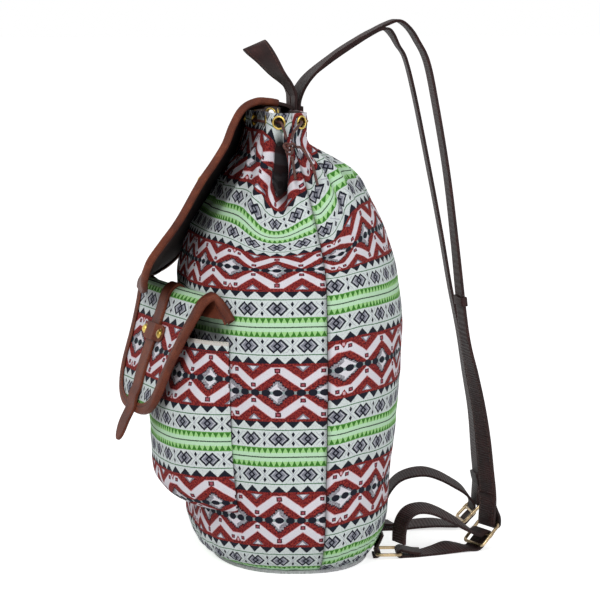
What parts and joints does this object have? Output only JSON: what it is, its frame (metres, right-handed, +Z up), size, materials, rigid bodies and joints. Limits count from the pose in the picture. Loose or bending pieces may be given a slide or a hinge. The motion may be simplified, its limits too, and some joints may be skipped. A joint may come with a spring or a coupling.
{
  "type": "backpack",
  "caption": "Soft drawstring backpack with a gathered neck, flap lid, front pocket with its own flap, and two looped shoulder straps on slides.",
  "frame": {"origin": "middle of the flat base, on the floor", "axes": "+Z up; -Y is the pocket side; +Y is the wearer's side with the shoulder straps; X across the width"},
  "size_m": [0.2798, 0.3543, 0.4762],
  "materials": {
    "printed_canvas": "woven",
    "rust_leather": "satin",
    "dark_leather": "satin",
    "gold_metal": "polished",
    "cord": "satin"
  },
  "bodies": {
    "root": {"front_panel": "printed_canvas", "back_panel": "printed_canvas", "base_panel": "printed_canvas", "lid": "printed_canvas", "pocket": "printed_canvas", "pocket_flap": "printed_canvas", "lid_binding": "rust_leather", "pocket_flap_binding": "rust_leather", "lid_strap": "rust_leather", "lid_keeper": "rust_leather", "pocket_strap": "rust_leather", "pocket_keeper": "rust_leather", "grab_handle": "dark_leather", "strap_anchor_patch": "dark_leather", "shoulder_strap_right": "dark_leather", "shoulder_strap_left": "dark_leather", "strap_keeper_right": "dark_leather", "lower_strap_right": "dark_leather", "lower_strap_left": "dark_leather", "ring_tab_right": "dark_leather", "ring_tab_left": "dark_leather", "eyelet_01": "gold_metal", "eyelet_02": "gold_metal", "eyelet_03": "gold_metal", "eyelet_04": "gold_metal", "eyelet_05": "gold_metal", "eyelet_06": "gold_metal", "eyelet_07": "gold_metal", "eyelet_08": "gold_metal", "eyelet_09": "gold_metal", "eyelet_10": "gold_metal", "eyelet_11": "gold_metal", "eyelet_12": "gold_metal", "lid_rivet_right": "gold_metal", "lid_rivet_left": "gold_metal", "pocket_rivet_right": "gold_metal", "pocket_rivet_left": "gold_metal", "slide_right": "gold_metal", "slide_left": "gold_metal", "ring_right": "gold_metal", "ring_left": "gold_metal", "drawcord": "cord", "drawcord_knot": "cord", "drawcord_tail_long": "cord", "drawcord_tail_short": "cord"}
  },
  "joints": []
}
